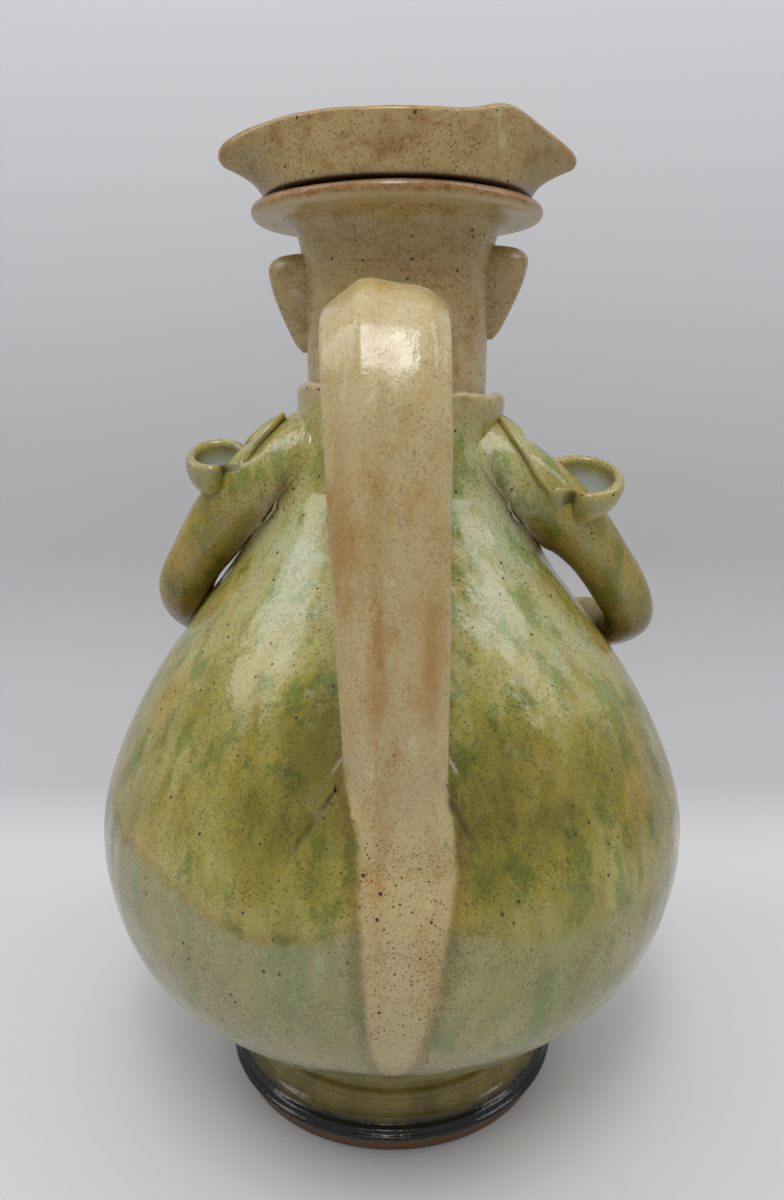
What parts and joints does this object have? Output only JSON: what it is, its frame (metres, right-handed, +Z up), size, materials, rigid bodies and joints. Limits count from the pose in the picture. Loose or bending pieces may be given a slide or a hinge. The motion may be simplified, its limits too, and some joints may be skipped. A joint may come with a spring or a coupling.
{
  "type": "anthropomorphic jug",
  "caption": "Glazed stoneware jug shaped as a standing figure, with a round belly, arms, a head under a three-cornered hat and a strap handle behind.",
  "frame": {"origin": "centre of the flat underside of the foot, on the jug's axis", "axes": "+Z up along the jug's axis; -Y the way the face looks and the spout points; +Y towards the handle; +X towards the figure's left hand"},
  "size_m": [0.169, 0.169, 0.2706],
  "materials": {
    "cream_glaze": "glossy",
    "olive_glaze": "glossy",
    "handle_glaze": "glossy",
    "foot_glaze": "satin"
  },
  "bodies": {
    "root": {"foot": "foot_glaze", "belly": "olive_glaze", "neck": "cream_glaze", "hat_brim": "cream_glaze", "hat_wall": "cream_glaze", "handle": "handle_glaze", "collar": "olive_glaze", "ear_left": "cream_glaze", "ear_right": "cream_glaze", "sleeve_left": "olive_glaze", "sleeve_right": "olive_glaze", "hand_left": "cream_glaze", "hand_right": "cream_glaze", "shoulder_strap_left": "olive_glaze", "shoulder_strap_right": "olive_glaze", "eye_left": "cream_glaze", "eye_right": "cream_glaze", "upper_eyelid_left": "cream_glaze", "upper_eyelid_right": "cream_glaze", "lower_eyelid_left": "cream_glaze", "lower_eyelid_right": "cream_glaze", "brow_left": "cream_glaze", "brow_right": "cream_glaze", "nose": "cream_glaze", "upper_lip": "cream_glaze", "lower_lip": "cream_glaze", "chin": "cream_glaze"}
  },
  "joints": []
}
